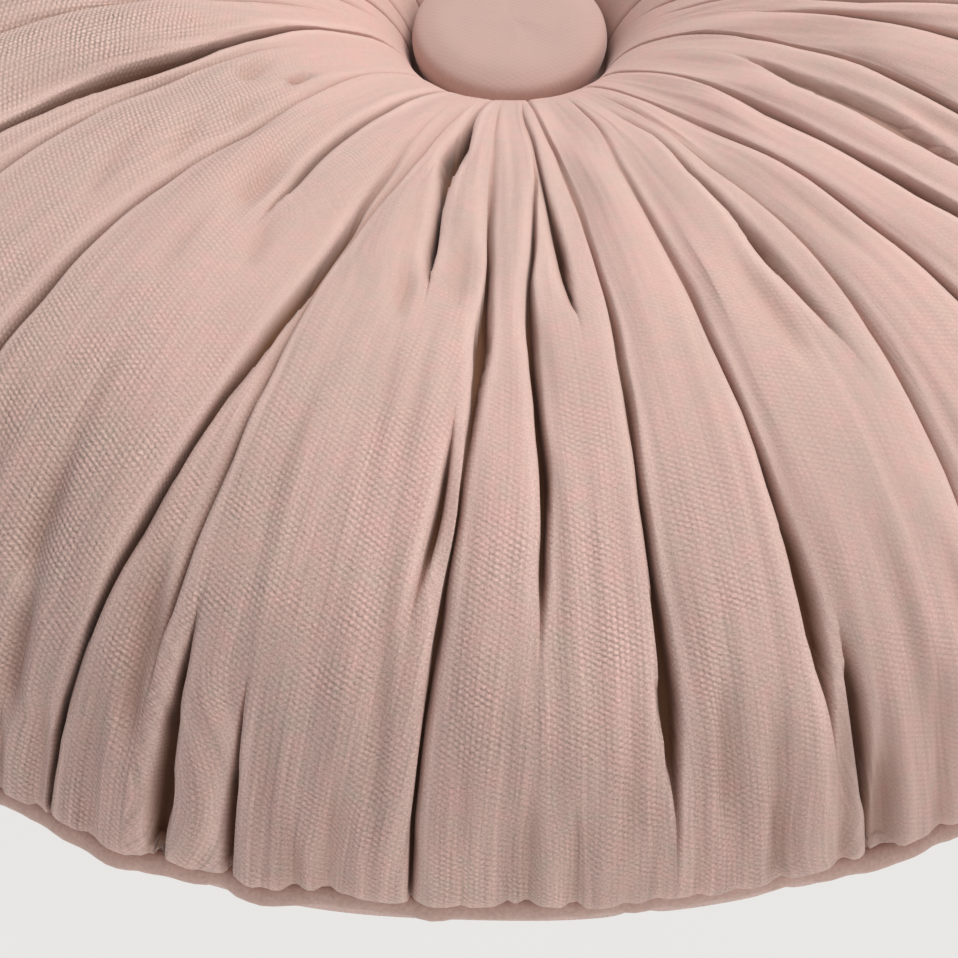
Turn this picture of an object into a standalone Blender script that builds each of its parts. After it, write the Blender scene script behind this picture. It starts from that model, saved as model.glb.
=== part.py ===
"""A round gathered scatter cushion, 40 cm across, lying on its back.

The filled body is drawn in under a covered button on each face, so its cloth runs outwards in
uneven folds to a piped seam. Metres, +Z up. The origin is on the surface that the cushion rests
on, under its centre, and azimuths are measured from -Y towards +X.
"""

import math

import bmesh
import bpy
import numpy as np

# Driving dimensions, in metres.
OUTER_RADIUS = 0.200  # over the piping
SEAM_HEIGHT = 0.050  # of the seam above the surface that the cushion rests on
PIPING_RADIUS = 0.0022
GAP = 0.0003  # between pieces that touch
SEAM_GAP = 0.0005  # between the seam and its piping, so that the cloth bulging over it is clear too
SEAM_RADIUS = OUTER_RADIUS - 2 * PIPING_RADIUS - SEAM_GAP

# Sections of the body from the button's seat out to the seam: radius, and distance from the
# seam's plane, in mm. They follow the crests of the folds.
FRONT_SECTIONS = [
    (14.5, 8.0),
    (19.2, 9.6),
    (22.4, 17.0),
    (27.0, 25.0),
    (37.0, 33.5),
    (54.0, 43.8),
    (77.0, 52.8),
    (104.0, 58.5),
    (130.0, 60.0),
    (152.0, 56.5),
    (170.0, 48.0),
    (184.5, 35.5),
    (194.0, 20.5),
    (197.4, 8.0),
]
BACK_SECTIONS = [
    (14.5, 9.0),
    (19.2, 10.6),
    (23.0, 19.0),
    (34.0, 31.5),
    (57.0, 44.5),
    (86.0, 50.8),
    (118.0, 52.0),
    (148.0, 51.0),
    (169.0, 43.0),
    (185.5, 26.0),
    (195.0, 8.5),
]

# A fold's azimuth in degrees where it crosses three circles, whose radii are these shares of the
# outer radius.
CROSSINGS = (0.25, 0.60, 0.95)

# The main folds of the front, in order round it. Columns: azimuth at each crossing, in degrees;
# first and last radius, as shares of the outer radius; depth and shoulder, in mm; lean, the
# sideways slant of the fold's floor, negative where the cloth on its left hangs over it.
MAIN_FOLDS = [
    (-71.0, -65.0, -61.0, 0.22, 0.97, 3.0, 8, -0.2),
    (-59.5, -52.5, -48.0, 0.15, 0.93, 6.0, 9, -0.4),
    (-54.0, -47.8, -42.5, 0.20, 0.90, 2.5, 6, -0.2),
    (-38.5, -35.7, -33.0, 0.08, 0.97, 4.5, 7, 0.3),
    (-26.0, -24.5, -26.3, 0.08, 0.98, 5.5, 8, 0.3),
    (-15.0, -18.0, -22.3, 0.20, 0.99, 5.0, 6, -0.4),
    (-12.0, -16.2, -18.2, 0.30, 0.99, 4.0, 6, -0.4),
    (-6.8, -8.4, -11.4, 0.16, 0.60, 6.0, 7, 0.2),
    (-2.2, -1.7, -4.6, 0.20, 0.99, 6.0, 7, -0.4),
    (3.2, 2.5, 2.4, 0.38, 0.87, 5.5, 6, -0.4),
    (5.6, 6.3, 6.2, 0.14, 0.56, 4.0, 6, -0.3),
    (7.6, 9.3, 9.3, 0.16, 1.00, 5.5, 6, 0.3),
    (15.6, 16.9, 17.6, 0.20, 0.95, 4.5, 7, -0.3),
    (23.6, 25.6, 22.6, 0.26, 0.68, 5.5, 8, -0.4),
    (27.0, 28.6, 28.0, 0.22, 0.97, 4.0, 7, 0.3),
    (31.5, 35.6, 37.5, 0.16, 0.97, 4.5, 7, 0.2),
    (41.4, 42.7, 45.0, 0.10, 0.98, 5.0, 8, 0.3),
    (52.5, 47.9, 49.5, 0.30, 0.70, 5.5, 9, -0.3),
    (60.2, 54.0, 53.0, 0.12, 0.95, 5.0, 8, 0.3),
    (68.5, 65.5, 63.0, 0.30, 0.97, 3.5, 7, 0.2),
    (76.0, 72.0, 71.5, 0.20, 0.97, 4.5, 8, -0.3),
]

# Folds on the rest of the front are spaced about like those, and the back's are shallower.
REST_FOLDS = 22
REST_SPREAD = 0.28  # of the folds' spacing, how far one strays from even spacing
REST_DEPTH = (3.0, 5.8)
BACK_DEPTH = (2.0, 3.6)
BACK_STRAY = 1.2  # degrees
BACK_EVENNESS = 0.6  # how far a fold of the back has come to even spacing at its middle crossing
SHOULDER = (6.0, 9.0)
SEED = 11

# Columns of points across the cloth between two folds, as shares of the way.
ACROSS = (0.0, 0.13, 0.38, 0.62, 0.87)
FADE = 0.07  # of the outer radius, over which a fold runs out at each end
SEAT_FADE = 0.04  # of the outer radius, over which folds flatten on to a button's seat

# How the seam and its piping waver: waves round the cushion, height in mm, phase in degrees.
SEAM_WAVES = [(6, 0.45, 20), (14, 0.5, 75), (26, 0.35, 140)]
SEAM_WAVE_START = 0.170  # radius from which the body begins to waver with it
SEAM_WAVE_RUN = 0.022  # and how far out it takes to do so fully

# A covered button's section: radius and height above its flat underside, in mm.
BUTTON_SECTION = [
    (0.0, 0.0),
    (13.5, 0.2),
    (18.6, 2.6),
    (20.9, 6.5),
    (20.6, 10.0),
    (18.2, 12.8),
    (13.0, 14.9),
    (6.5, 15.9),
    (0.0, 16.2),
]
BUTTON_STEPS = 40
PIPING_POINTS = 120

ROSE_COTTON = (0.60, 0.43, 0.38, 1.0)
MM = 0.001


def clear_scene():
    for obj in list(bpy.data.objects):
        bpy.data.objects.remove(obj, do_unlink=True)


def cloth_material(name, colour, roughness):
    material = bpy.data.materials.new(name)
    material.use_nodes = True
    shader = material.node_tree.nodes["Principled BSDF"]
    shader.inputs["Base Color"].default_value = colour
    shader.inputs["Roughness"].default_value = roughness
    shader.inputs["Metallic"].default_value = 0.0
    return material


def add_object(name, data, material):
    data.materials.append(material)
    obj = bpy.data.objects.new(name, data)
    bpy.context.scene.collection.objects.link(obj)
    return obj


def rest_of_front(random):
    """Folds on the far side of the front, round from the last main fold to the first."""
    start = np.array(MAIN_FOLDS[-1][:3])
    sweep = np.array(MAIN_FOLDS[0][:3]) + 360.0 - start
    folds = []
    for number in range(1, REST_FOLDS + 1):
        stray = random.uniform(-REST_SPREAD, REST_SPREAD, 3)
        stray = stray.mean() + 0.4 * stray
        azimuths = start + sweep * (number + stray) / (REST_FOLDS + 1)
        first = random.uniform(0.08, 0.24)
        last = random.uniform(0.60, 0.75) if number % 5 == 3 else random.uniform(0.92, 0.99)
        depth = random.uniform(*REST_DEPTH)
        shoulder = random.uniform(*SHOULDER)
        lean = random.choice([-0.35, 0.3])
        folds.append((*azimuths, first, last, depth, shoulder, lean))
    return folds


def folds_of_back(front, random):
    """As many folds as the front has, meeting its folds at the seam and even at the button."""
    even = MAIN_FOLDS[0][0] + 360.0 * np.arange(len(front)) / len(front)
    folds = []
    for fold, inner in zip(front, even):
        rim = fold[2]
        middle = BACK_EVENNESS * inner + (1 - BACK_EVENNESS) * rim + random.uniform(-BACK_STRAY, BACK_STRAY)
        depth = random.uniform(*BACK_DEPTH)
        shoulder = random.uniform(*SHOULDER)
        lean = random.choice([-0.3, 0.3])
        folds.append((inner, middle, rim, 0.08, 0.96, depth, shoulder, lean))
    return folds


def azimuth_of(fold, share):
    """Azimuth where the fold crosses this share of the outer radius, along a parabola."""
    a, b, c = CROSSINGS
    share = min(max(share, a / 2), c)
    near, middle, rim = fold[:3]
    return (
        near * (share - b) * (share - c) / ((a - b) * (a - c))
        + middle * (share - a) * (share - c) / ((b - a) * (b - c))
        + rim * (share - a) * (share - b) / ((c - a) * (c - b))
    )


def smooth_rise(value):
    value = min(max(value, 0.0), 1.0)
    return value * value * (3.0 - 2.0 * value)


def depth_of(fold, share):
    first, last, depth = fold[3:6]
    seat = FRONT_SECTIONS[0][0] * MM / OUTER_RADIUS
    rise = smooth_rise((share - first + FADE) / FADE) * smooth_rise((share - seat) / SEAT_FADE)
    fall = smooth_rise((last + FADE / 2 - share) / FADE)
    return depth * MM * rise * fall


def groove(distance, shoulder):
    """Share of a fold's depth at this distance from its line: a rounded shoulder on each side."""
    nearness = max(0.0, 1.0 - distance / (shoulder * MM))
    return 1.0 - math.sqrt(1.0 - nearness * nearness)


def seam_waver(azimuth):
    """Height in metres by which the seam strays from its plane."""
    height = 0.0
    for count, wave_height, phase in SEAM_WAVES:
        height += wave_height * math.sin(count * azimuth + math.radians(phase))
    return height * MM


def slopes(sections):
    """Outward normal of each section, as its radial and axial parts."""
    along = np.gradient(np.array(sections, dtype=float), axis=0)
    along /= np.linalg.norm(along, axis=1)[:, None]
    return np.column_stack([-along[:, 1], along[:, 0]])


def section_ring(folds, section, normal, side):
    """Points round one section of a face: side is +1 for the front and -1 for the back."""
    radius, rise = section[0] * MM, section[1] * MM
    share = radius / OUTER_RADIUS
    starts = [math.radians(azimuth_of(fold, share)) for fold in folds]
    ends = starts[1:] + [starts[0] + 2 * math.pi]
    points = []
    for number, (start, end) in enumerate(zip(starts, ends)):
        left, right = folds[number], folds[(number + 1) % len(folds)]
        width = (end - start) * radius
        for across in ACROSS:
            sink_left = depth_of(left, share) * groove(across * width, left[6])
            sink_right = depth_of(right, share) * groove((1.0 - across) * width, right[6])
            sink = max(sink_left, sink_right)
            slant = left[7] * sink_left + right[7] * sink_right
            azimuth = start + (end - start) * across + slant / radius
            out = radius - normal[0] * sink
            height = rise - normal[1] * sink
            waver = seam_waver(azimuth) * smooth_rise((radius - SEAM_WAVE_START) / SEAM_WAVE_RUN)
            z = max(0.0, SEAM_HEIGHT + side * height + waver)
            points.append((out * math.sin(azimuth), -out * math.cos(azimuth), z))
    return points


def seam_ring(folds):
    share = SEAM_RADIUS / OUTER_RADIUS
    starts = [math.radians(azimuth_of(fold, share)) for fold in folds]
    ends = starts[1:] + [starts[0] + 2 * math.pi]
    azimuths = [a + (b - a) * across for a, b in zip(starts, ends) for across in ACROSS]
    return [
        (SEAM_RADIUS * math.sin(a), -SEAM_RADIUS * math.cos(a), SEAM_HEIGHT + seam_waver(a))
        for a in azimuths
    ]


def join_rings(mesh, outer, inner):
    for number in range(len(outer)):
        after = (number + 1) % len(outer)
        mesh.faces.new((outer[number], outer[after], inner[after], inner[number]))


def close_ring(mesh, ring):
    """Closes the button's seat, which is level, with a fan of faces."""
    centre = mesh.verts.new((0.0, 0.0, ring[0].co.z))
    for number in range(len(ring)):
        mesh.faces.new((ring[number], ring[(number + 1) % len(ring)], centre))


def make_cushion():
    random = np.random.default_rng(SEED)
    front = MAIN_FOLDS + rest_of_front(random)
    back = folds_of_back(front, random)
    mesh = bmesh.new()
    seam = [mesh.verts.new(point) for point in seam_ring(front)]
    for folds, sections, side in ((front, FRONT_SECTIONS, 1), (back, BACK_SECTIONS, -1)):
        normals = slopes(sections + [(SEAM_RADIUS / MM, 0.0)])
        outer = seam
        for section, normal in reversed(list(zip(sections, normals))):
            inner = [mesh.verts.new(point) for point in section_ring(folds, section, normal, side)]
            join_rings(mesh, outer, inner)
            outer = inner
        close_ring(mesh, outer)
    bmesh.ops.triangulate(mesh, faces=mesh.faces[:])
    bmesh.ops.recalc_face_normals(mesh, faces=mesh.faces[:])
    data = bpy.data.meshes.new("cushion")
    mesh.to_mesh(data)
    mesh.free()
    data.shade_smooth()
    return add_object("cushion", data, cloth_material("rose cotton body", ROSE_COTTON, 0.9))


def make_piping():
    curve = bpy.data.curves.new("piping", "CURVE")
    curve.dimensions = "3D"
    curve.bevel_depth = PIPING_RADIUS
    curve.bevel_resolution = 2
    spline = curve.splines.new("POLY")
    spline.points.add(PIPING_POINTS - 1)
    spline.use_cyclic_u = True
    radius = OUTER_RADIUS - PIPING_RADIUS
    for number, point in enumerate(spline.points):
        azimuth = 2 * math.pi * number / PIPING_POINTS
        point.co = (radius * math.sin(azimuth), -radius * math.cos(azimuth), seam_waver(azimuth), 1.0)
    obj = add_object("piping", curve, cloth_material("rose cotton piping", ROSE_COTTON, 0.9))
    obj.location = (0.0, 0.0, SEAM_HEIGHT)
    return obj


def button_mesh():
    mesh = bmesh.new()
    points = [mesh.verts.new((radius * MM, 0.0, height * MM)) for radius, height in BUTTON_SECTION]
    edges = [mesh.edges.new(pair) for pair in zip(points, points[1:])]
    bmesh.ops.spin(
        mesh,
        geom=points + edges,
        cent=(0.0, 0.0, 0.0),
        axis=(0.0, 0.0, 1.0),
        angle=2 * math.pi,
        steps=BUTTON_STEPS,
    )
    bmesh.ops.remove_doubles(mesh, verts=mesh.verts[:], dist=1e-6)
    bmesh.ops.recalc_face_normals(mesh, faces=mesh.faces[:])
    data = bpy.data.meshes.new("button")
    mesh.to_mesh(data)
    mesh.free()
    data.shade_smooth()
    return data


def make_button(name, sections, side):
    """A covered button whose flat underside sits on the seat of that face."""
    obj = add_object(name, button_mesh(), cloth_material(f"rose cotton {name}", ROSE_COTTON, 0.9))
    obj.location = (0.0, 0.0, SEAM_HEIGHT + side * (sections[0][1] * MM + GAP))
    obj.rotation_euler = (0.0 if side > 0 else math.pi, 0.0, 0.0)
    return obj


clear_scene()
make_cushion()
make_piping()
make_button("button_front", FRONT_SECTIONS, 1)
make_button("button_back", BACK_SECTIONS, -1)
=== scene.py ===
"""A round gathered scatter cushion in rose cotton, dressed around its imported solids.

The file goes in the order in which the cushion is put together: the filled cover, the piping in
its seam, the two covered buttons that draw it in, and then the floor, lights and camera.
"""

import math

import bpy
import numpy as np
from mathutils import Matrix, Vector


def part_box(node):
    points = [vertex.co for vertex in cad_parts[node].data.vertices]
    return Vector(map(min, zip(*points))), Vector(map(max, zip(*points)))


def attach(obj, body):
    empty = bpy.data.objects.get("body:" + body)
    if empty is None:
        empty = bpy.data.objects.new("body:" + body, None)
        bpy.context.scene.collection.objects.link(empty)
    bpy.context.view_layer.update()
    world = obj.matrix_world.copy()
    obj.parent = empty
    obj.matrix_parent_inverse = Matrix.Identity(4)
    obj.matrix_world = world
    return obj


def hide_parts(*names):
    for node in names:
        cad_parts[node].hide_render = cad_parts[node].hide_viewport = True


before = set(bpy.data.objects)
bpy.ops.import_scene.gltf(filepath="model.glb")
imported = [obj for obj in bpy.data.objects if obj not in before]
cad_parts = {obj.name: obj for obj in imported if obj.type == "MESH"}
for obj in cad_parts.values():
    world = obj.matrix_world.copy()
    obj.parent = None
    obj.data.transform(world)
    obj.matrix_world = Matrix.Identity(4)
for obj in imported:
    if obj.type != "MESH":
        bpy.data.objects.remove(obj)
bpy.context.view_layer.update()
MM = 0.001


# The cover: two rounds of plain-woven cotton with a short nap, sewn together at the rim over a fibre
# filling and drawn in under a button on each face. It has no darts, so all its fullness runs out in
# folds, some deep enough to close over themselves, and is gathered again into the seam.

SEAM_HEIGHT = 0.050  # of the seam above the surface that the cushion rests on
OUTER_RADIUS = 0.200  # m, over the piping

# Crest of the cover in section, from the button's seat out to the seam: radius, and distance
# from the seam's plane, in mm. It hugs the button, and just above the seam it bulges over the
# piping.
FRONT_CREST = [
    (14.5, 8.0),
    (20.4, 9.4),
    (21.5, 15.0),
    (22.7, 18.6),
    (25.3, 23.4),
    (29.5, 28.6),
    (38.0, 35.4),
    (54.0, 44.4),
    (77.0, 52.9),
    (104.0, 58.5),
    (130.0, 60.0),
    (152.0, 56.5),
    (170.0, 48.0),
    (184.5, 35.5),
    (194.0, 20.5),
    (198.7, 10.0),
    (199.9, 5.2),
    (198.8, 2.9),
    (196.2, 2.2),
]
BACK_CREST = [
    (14.5, 9.0),
    (19.2, 10.6),
    (23.0, 19.0),
    (34.0, 31.5),
    (57.0, 44.5),
    (86.0, 50.8),
    (118.0, 52.0),
    (148.0, 51.0),
    (169.0, 43.0),
    (185.5, 26.0),
    (195.0, 8.5),
]
SEAM_RADIUS = 0.1951  # m

# A fold's path and depth are given where it crosses circles at these shares of the outer radius.
CROSSINGS = (0.15, 0.35, 0.55, 0.75, 0.96)

# The folds of the front, in order round it: azimuth in degrees at each crossing; depth in mm at
# each crossing; first and last share of the radius, and left and right shoulder in mm; lean, the
# sideways slant of its floor, negative where the cloth on its left hangs over it; then the share at
# which it stands widest open, over what share of the radius, and how much wider than others, in mm.
NO_WIDER = (0.5, 0.1, 0.0)
FOLDS = [
    ((-74.0, -69.4, -65.3, -62.5, -61.0), (0.4, 1.3, 1.8, 3.0, 4.0),
     (0.24, 0.97, 2.5, 1.1), 0.3, NO_WIDER),
    ((-67.5, -56.7, -53.2, -50.0, -48.0), (1.5, 7.5, 4.5, 2.5, 4.0),
     (0.17, 0.93, 1.3, 2.2), -0.2, (0.42, 0.10, 2.0)),
    ((-58.0, -52.7, -48.8, -45.5, -42.5), (0.0, 1.6, 3.6, 3.4, 4.0),
     (0.30, 0.95, 2.5, 0.8), 0.4, NO_WIDER),
    ((-40.5, -36.4, -36.3, -35.3, -33.0), (1.0, 1.6, 5.0, 7.0, 9.0),
     (0.08, 0.985, 2.0, 1.0), 0.3, (0.92, 0.2, 1.0)),
    ((-24.6, -25.7, -25.0, -24.8, -26.0), (1.8, 6.5, 6.0, 0.0, 0.0),
     (0.10, 0.475, 2.4, 0.8), 0.1, (0.39, 0.07, 0.6)),
    ((-14.6, -16.0, -17.4, -20.1, -22.8), (0.0, 1.0, 6.0, 6.5, 9.0),
     (0.26, 0.99, 1.3, 1.9), -0.3, (0.62, 0.12, 0.9)),
    ((-9.5, -13.6, -16.1, -17.0, -18.4), (0.0, 1.6, 2.8, 4.6, 5.0),
     (0.22, 0.90, 3.0, 0.8), 0.4, NO_WIDER),
    ((-8.3, -12.5, -15.0, -16.0, -16.8), (0.0, 0.0, 0.0, 0.0, 9.0),
     (0.93, 0.992, 1.3, 1.2), -0.1, (0.98, 0.04, 2.4)),
    ((-6.8, -10.6, -11.8, -12.6, -13.1), (0.0, 0.0, 0.0, 0.0, 7.0),
     (0.97, 0.992, 1.1, 1.0), 0.1, (0.985, 0.02, 1.2)),
    ((-5.4, -7.8, -6.9, -9.0, -10.5), (1.6, 8.5, 6.5, 0.0, 0.0),
     (0.20, 0.515, 2.4, 0.8), 0.3, (0.32, 0.045, 3.4)),
    ((-3.0, -3.2, -3.1, -3.65, -6.2), (0.0, 0.0, 3.0, 5.0, 4.0),
     (0.75, 0.83, 1.2, 0.8), -0.1, (0.8, 0.05, 0.3)),
    ((-1.5, -1.7, -1.6, -2.5, -4.0), (0.3, 1.2, 5.4, 5.0, 6.5),
     (0.24, 0.992, 1.1, 1.3), -0.3, (0.60, 0.05, 1.4)),
    ((4.6, 4.5, 2.4, 2.7, 1.8), (0.0, 1.5, 5.0, 6.5, 3.0),
     (0.38, 0.85, 1.1, 0.8), -0.1, (0.72, 0.06, 0.5)),
    ((4.8, 5.4, 6.3, 6.5, 6.5), (0.2, 2.0, 5.5, 0.0, 0.0),
     (0.24, 0.55, 2.0, 0.8), 0.2, (0.46, 0.05, 0.5)),
    ((7.3, 8.8, 9.3, 8.8, 8.9), (0.8, 1.6, 2.8, 5.0, 8.5),
     (0.16, 0.955, 1.3, 1.0), -0.1, (0.915, 0.06, 1.7)),
    ((20.0, 17.2, 16.6, 16.8, 17.4), (0.4, 1.2, 2.2, 4.5, 7.5),
     (0.24, 0.925, 1.3, 1.0), -0.1, (0.87, 0.06, 1.5)),
    ((21.8, 19.6, 18.6, 18.3, 18.8), (0.0, 0.0, 0.0, 3.0, 9.0),
     (0.945, 0.992, 1.1, 2.2), -0.2, (0.945, 0.04, 1.5)),
    ((24.0, 25.0, 25.0, 26.4, 26.2), (0.0, 1.4, 5.5, 0.0, 0.0),
     (0.30, 0.64, 1.3, 2.2), -0.3, (0.545, 0.03, 1.6)),
    ((27.5, 28.0, 28.7, 27.8, 27.2), (0.4, 1.3, 2.2, 3.2, 4.0),
     (0.26, 0.97, 1.3, 1.9), -0.4, NO_WIDER),
    ((32.0, 34.3, 35.8, 36.5, 37.5), (0.6, 2.0, 3.0, 3.0, 4.0),
     (0.18, 0.97, 1.8, 1.3), 0.1, NO_WIDER),
    ((45.0, 42.6, 42.7, 43.5, 45.0), (0.8, 2.6, 5.5, 4.0, 4.0),
     (0.14, 0.98, 1.8, 1.0), 0.2, (0.57, 0.05, 1.0)),
    ((58.0, 51.5, 48.0, 48.0, 49.0), (0.0, 2.6, 3.0, 0.0, 0.0),
     (0.34, 0.62, 1.3, 1.0), 0.0, (0.45, 0.09, 4.2)),
    ((66.0, 59.3, 54.5, 53.0, 52.5), (0.8, 2.2, 3.6, 3.4, 4.0),
     (0.15, 0.95, 2.0, 1.1), 0.3, NO_WIDER),
    ((75.0, 69.0, 65.5, 63.5, 63.0), (0.5, 2.0, 3.0, 3.4, 4.0),
     (0.32, 0.97, 2.0, 1.1), 0.2, NO_WIDER),
    ((80.0, 72.8, 71.2, 71.0, 71.5), (0.5, 2.4, 3.4, 3.4, 4.0),
     (0.22, 0.97, 2.0, 1.5), -0.2, NO_WIDER),
]

# Folds on the far side of the front are spaced about like those; the back's are shallower.
REST_FOLDS = 22
REST_SPREAD = 0.28  # of the folds' spacing, how far one strays from even spacing
REST_DEPTH = (3.4, 7.5)  # mm, at the deepest
REST_RISE = (0.22, 0.5, 0.9, 0.9, 1.1)  # of that, at each crossing
REST_STARTS = (0.08, 0.26)  # share of the radius
REST_STOPS = (0.93, 0.985)
REST_STOPS_SHORT = (0.55, 0.75)  # of every fifth one
REST_SHOULDER = (1.6, 3.4)  # mm
REST_GAPE = (-1.5, 2.6)  # mm, where those below nothing don't stand wider open
LEANS = (-0.3, 0.3)
BACK_FOLDS = 44
BACK_STRAY = 0.9  # degrees from one crossing to the next
BACK_DEPTH = (2.2, 4.6)
BACK_START = 0.08
BACK_STOPS = (0.90, 0.985)
BACK_SHOULDER = (3.5, 6.5)
SEED = 11

BUTTON_STRAY = {1: (0.0013, 0.0004), -1: (-0.0006, 0.0)}  # m off the middle, as tied by hand
STRAY_REACH = (50.0, 30.0)  # mm from the middle to where the cloth follows it, and the run inwards
FADE = 0.07  # share of the radius over which a fold runs out at each end
SEAT_ENDS = (0.0725, 0.04)  # share of the radius where the folds leave the button's seat, and the run
LIP_ROUND = 0.8  # of the shoulder, how deep the round of a fold's lips goes
LEAN_SHIFT = 1.6  # mm of depth, past which a fold's lean no longer moves its path
LEAN_DEPTH = 2.0  # mm, how deep its walls lean
SLIT = 0.42  # mm, how far a deep fold stands open all along
SLIT_FROM = (2.5, 3.0)  # mm of depth from which it does, and over how much
SLIT_WALL = 0.5  # mm, how far its walls slope
SLIT_CLOSES = 0.8  # of a fold's depth, how far down it stands open
TROUGH_DEPTH = 0.11  # of a fold's depth, how far the cloth dips widely on both sides of it
TROUGH_WIDTH = 2.6  # times the shoulder
BACK_TROUGH_WIDTH = 8.0  # mm
WANDER = 0.12  # mm, how far a fold strays to the side, over and over, along its length
WANDER_WAVES = ((4, 1.0), (7, 1.0), (11, 0.7), (17, 0.4))  # over the radius, and their strength
DRAWN_IN = 0.45  # of a shoulder's width, what is left of it next to the button
DRAWN_OVER = (0.10, 0.45)  # share of the radius from which it widens, and over how much
FLAT_AND_LIT_EDGE = (1.5, 1.1)  # mm from the fold to the middle of its edge band, where the nap lies flat and a highlight is painted, and half its width
SEWN_OVER = 0.008  # share of the radius over which the folds flatten into the seam
FULL_SHADE_DEPTH = 6.0  # mm of depth in a fold from which on the cloth takes the full painted fold shade
LONG_FOLD = 0.45  # share of the radius, from which on a fold parts the weave at its two sides
BACK_BARE = 0.6  # how plainly the back shows its weave
NEAR_SEAM = (0.86, 0.12)  # share of the radius from which the cloth is streaky, and over how much

# The cloth is cut a little too large for the folds, the seam and the button that hold it, and the
# filling presses on it from inside: simulated, it settles into ripples and drag lines.
SPARE_CLOTH = 0.009  # of its length and width
CLOTH_POINT_MASS = 0.003
CLOTH_BENDING = 2.0
FILLING_PRESSURE = 40.0
SETTLING_FRAMES = 14
SETTLES_AT_MOST = 2.0  # mm
HELD_BY_SEAM = (0.965, 0.03)  # share of the radius where the seam begins to hold it, and over how much
HELD_BY_BUTTON = (0.38, 0.20)  # and where the button does, inwards

# Soft dents, short creases and drag lines in the cloth between the folds. Columns: azimuth and
# share of the radius where it starts, the same where it ends, depth and half-width in mm.
DENTS = [
    (-26.9, 0.790, -26.7, 0.890, 2.6, 2.2),
    (-25.8, 0.885, -25.6, 0.960, 2.6, 1.8),
    (-19.2, 0.835, -19.0, 0.955, 3.2, 2.2),
    (-10.2, 0.970, -9.8, 0.995, 1.6, 1.4),
    (19.8, 0.940, 19.9, 0.995, 2.0, 2.2),
    (-44.8, 0.284, -40.6, 0.312, 6.5, 1.1),
    (-49.4, 0.305, -47.4, 0.340, 2.2, 1.8),
    (-43.2, 0.410, -38.6, 0.485, 1.3, 1.5),
    (-43.4, 0.505, -40.2, 0.575, 1.2, 1.4),
    (-41.6, 0.360, -38.9, 0.400, 1.0, 1.5),
    (-45.6, 0.440, -42.6, 0.530, 0.8, 2.0),
    (-28.9, 0.410, -28.4, 0.500, 1.8, 1.7),
    (-29.8, 0.530, -29.0, 0.620, 1.0, 1.8),
    (-24.6, 0.500, -23.0, 0.570, 1.2, 1.4),
    (-31.8, 0.760, -31.0, 0.900, 1.4, 1.8),
    (-27.4, 0.700, -27.0, 0.800, 0.9, 2.0),
    (-9.1, 0.510, -8.9, 0.580, 2.0, 1.4),
    (-8.4, 0.620, -8.2, 0.780, 0.6, 2.0),
    (-13.2, 0.660, -14.2, 0.800, 0.7, 1.8),
    (-5.9, 0.600, -6.6, 0.740, 0.7, 1.6),
    (-6.3, 0.800, -6.0, 0.970, 1.2, 1.8),
    (-4.0, 0.455, -4.2, 0.560, 1.5, 2.2),
    (14.2, 0.965, 13.9, 0.990, 1.6, 1.3),
    (6.9, 0.900, 6.7, 0.970, 1.0, 1.5),
    (22.0, 0.530, 22.6, 0.660, 1.6, 2.2),
    (11.6, 0.900, 11.4, 0.970, 1.8, 1.6),
    (21.8, 0.800, 22.2, 0.960, 0.8, 1.8),
    (25.4, 0.840, 25.8, 0.950, 1.6, 2.2),
    (52.6, 0.460, 51.4, 0.550, 1.6, 1.6),
    (31.5, 0.420, 32.2, 0.580, 1.0, 2.4),
    (63.0, 0.260, 61.6, 0.400, 0.8, 2.4),
]

# How plump each stretch of cloth is: waves round the cushion, run of a swell and its height in mm.
SWELLS = [(7, 95.0, 0.8), (17, 60.0, 0.5), (31, 42.0, 0.35), (53, 26.0, 0.28)]

# Long low ripples that run up the cloth from the seam: waves round the cushion and height in mm.
RIPPLES = [(67, 0.22), (103, 0.22), (151, 0.20), (211, 0.16), (277, 0.12)]

# How the seam and its piping waver: waves round the cushion, height in mm, phase in degrees.
SEAM_WAVES = [(6, 0.45, 20), (14, 0.4, 75), (26, 0.25, 140)]
SEAM_WAVES_FROM = (0.170, 0.022)  # m, radius from which the cover wavers with it, and over how much

# Where the gathers let the piping sag, or pull it in: azimuth and spread in degrees, and mm.
SEAM_SAGS = [
    (-24.9, 1.4, -0.9),
    (-18.9, 2.0, 1.7),
    (-15.4, 1.2, 0.5),
    (-11.6, 1.2, 1.5),
    (-8.2, 1.6, -0.5),
    (-2.5, 2.5, 0.5),
    (8.6, 2.2, -0.6),
    (14.0, 2.6, -0.6),
    (20.5, 2.0, 0.4),
]
# Where the cover laps further down over the piping: azimuth and spread in degrees, and mm.
SEAM_LAPS = [
    (-30.0, 4.0, -0.4),
    (-3.0, 3.0, 0.5),
    (5.5, 3.0, 1.1),
    (12.5, 4.0, 1.5),
    (22.0, 2.5, -0.3),
]
RIM_MOVES = (0.955, 0.03)  # share of the radius where sags and laps begin, and over how much
SAG_PULLS = 0.6  # of a sag, how far the cover follows it outwards and down
LAP_PULLS = (0.45, 0.8)  # of a lap, outwards and down

GATHERS = 170  # small gathers round the seam
GATHER_ENDS = (0.985, 0.996)  # share of the radius where the shortest starts, and where all end
GATHER_LENGTH = (5.0, 26.0)  # mm
GATHER_DEPTH = (0.4, 2.5)
GATHER_WIDTH = (0.8, 2.1)

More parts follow.
